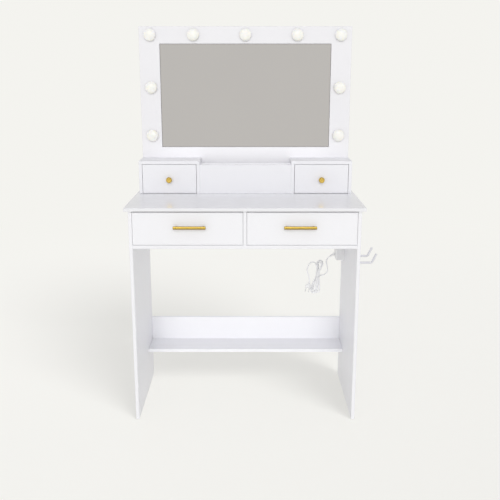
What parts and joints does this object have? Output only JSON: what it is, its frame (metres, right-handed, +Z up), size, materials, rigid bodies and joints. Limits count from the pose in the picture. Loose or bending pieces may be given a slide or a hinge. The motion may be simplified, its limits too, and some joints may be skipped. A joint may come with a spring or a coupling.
{
  "type": "vanity table with mirror",
  "caption": "Dressing table with a tall lamp-lit mirror board, wide and small drawers, a lower shelf, side hooks and a power box with a tied cord.",
  "frame": {"origin": "on the floor under the middle of the bounding box, hooks and handles counted", "axes": "+Z up, -Y towards the sitter, +X towards the side with the hooks"},
  "size_m": [0.8686, 0.4296, 1.36],
  "materials": {
    "white_board": "satin white melamine on particle board",
    "drawer_board": "white melamine",
    "thin_board": "white painted hardboard",
    "mirror_glass": "silvered glass",
    "globe": "opal diffuser",
    "white_plastic": "moulded",
    "gold": "brushed gold",
    "steel": "zinc plated",
    "hook_paint": "pale grey powder coat",
    "cord_skin": "soft white vinyl",
    "glide": "moulded nylon"
  },
  "bodies": {
    "cabinet": {"tabletop": "white_board", "left_side_panel": "white_board", "right_side_panel": "white_board", "case_bottom_panel": "white_board", "drawer_divider": "white_board", "rear_stretcher": "white_board", "lower_shelf": "white_board", "hutch_front_panel": "white_board", "hutch_ledge": "white_board", "left_hutch_top": "white_board", "left_hutch_sides": "white_board", "right_hutch_top": "white_board", "right_hutch_sides": "white_board", "mirror_frame": "white_board", "case_back_panel": "thin_board", "mirror_back_panel": "thin_board", "mirror_glass": "mirror_glass", "led_bulbs": "globe", "lamp_holders": "white_plastic", "power_box_housing": "white_plastic", "power_sockets": "white_plastic", "plug_body": "white_plastic", "cabinet_rails": "steel", "cam_locks": "steel", "cam_bolts": "steel", "hook_screws": "steel", "plug_blades": "steel", "front_hook": "hook_paint", "rear_hook": "hook_paint", "cord_gland": "cord_skin", "cord_lead": "cord_skin", "cord_hank": "cord_skin", "cord_tail": "cord_skin", "cord_tie": "cord_skin", "lamp_wiring": "cord_skin", "floor_glides": "glide"},
    "left_drawer": {"left_drawer_front": "white_board", "left_drawer_sides": "drawer_board", "left_drawer_back": "drawer_board", "left_drawer_bottom": "thin_board", "left_drawer_rails": "steel", "left_drawer_handle": "gold", "left_drawer_handle_screws": "steel"},
    "right_drawer": {"right_drawer_front": "white_board", "right_drawer_sides": "drawer_board", "right_drawer_back": "drawer_board", "right_drawer_bottom": "thin_board", "right_drawer_rails": "steel", "right_drawer_handle": "gold", "right_drawer_handle_screws": "steel"},
    "left_middle_slides": {"left_middle_rails": "steel"},
    "right_middle_slides": {"right_middle_rails": "steel"},
    "small_left_drawer": {"small_left_drawer_front": "white_board", "small_left_drawer_box": "drawer_board", "small_left_drawer_bottom": "thin_board", "small_left_drawer_knob": "gold"},
    "small_right_drawer": {"small_right_drawer_front": "white_board", "small_right_drawer_box": "drawer_board", "small_right_drawer_bottom": "thin_board", "small_right_drawer_knob": "gold"}
  },
  "joints": [
    {"name": "left_drawer_slide", "type": "slide", "parent": "cabinet", "child": "left_drawer", "axis": [0, -1, 0], "range_m": [0, 0.3]},
    {"name": "right_drawer_slide", "type": "slide", "parent": "cabinet", "child": "right_drawer", "axis": [0, -1, 0], "range_m": [0, 0.3]},
    {"name": "left_middle_slide", "type": "slide", "parent": "cabinet", "child": "left_middle_slides", "axis": [0, -1, 0], "range_m": [0, 0.15]},
    {"name": "right_middle_slide", "type": "slide", "parent": "cabinet", "child": "right_middle_slides", "axis": [0, -1, 0], "range_m": [0, 0.15]},
    {"name": "small_left_drawer_slide", "type": "slide", "parent": "cabinet", "child": "small_left_drawer", "axis": [0, -1, 0], "range_m": [0, 0.07]},
    {"name": "small_right_drawer_slide", "type": "slide", "parent": "cabinet", "child": "small_right_drawer", "axis": [0, -1, 0], "range_m": [0, 0.07]}
  ],
  "couplings": [
    {"joint": "left_middle_slide", "follows": "left_drawer_slide", "ratio": 0.5},
    {"joint": "right_middle_slide", "follows": "right_drawer_slide", "ratio": 0.5}
  ]
}
